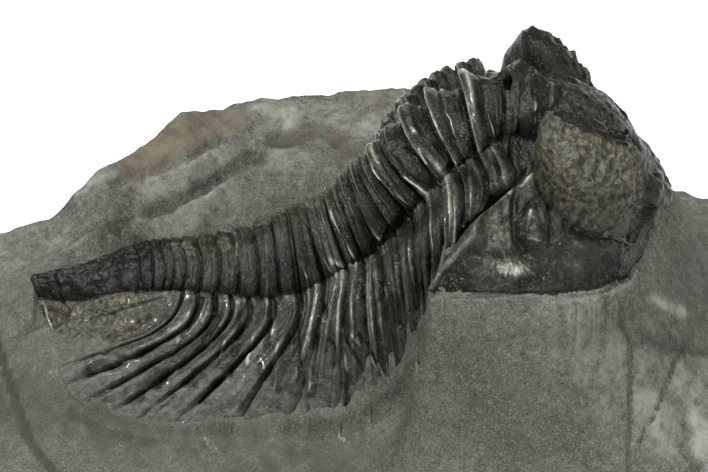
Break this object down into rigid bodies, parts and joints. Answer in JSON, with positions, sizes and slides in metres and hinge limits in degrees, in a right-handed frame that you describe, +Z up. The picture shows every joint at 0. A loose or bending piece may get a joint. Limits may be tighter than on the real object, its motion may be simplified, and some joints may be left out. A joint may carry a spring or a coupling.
{
  "type": "trilobite fossil on matrix",
  "caption": "Arched phacopid trilobite with tall eyes, a ringed body and a ribbed tail shield, prepared free on its block of grey limestone.",
  "frame": {"origin": "middle of the block's flat sawn base", "axes": "+X from the tail towards the head, +Y towards the far side of the block in the picture, +Z up from the base"},
  "size_m": [0.0696, 0.0513, 0.0372],
  "materials": {
    "fossil_shell": "dark brown-black calcite shell, natural low gloss with bright glints on its ribs, grainy olive-brown on the eyes",
    "limestone": "matt grey-olive limestone, smooth where it was carved round the fossil and rough, cracked and brown-weathered where it broke"
  },
  "bodies": {
    "root": {"matrix": "limestone", "cephalon": "fossil_shell", "thorax_segment_01": "fossil_shell", "thorax_segment_02": "fossil_shell", "thorax_segment_03": "fossil_shell", "thorax_segment_04": "fossil_shell", "thorax_segment_05": "fossil_shell", "thorax_segment_06": "fossil_shell", "thorax_segment_07": "fossil_shell", "thorax_segment_08": "fossil_shell", "thorax_segment_09": "fossil_shell", "thorax_segment_10": "fossil_shell", "thorax_segment_11": "fossil_shell", "pygidium": "fossil_shell"}
  },
  "joints": []
}
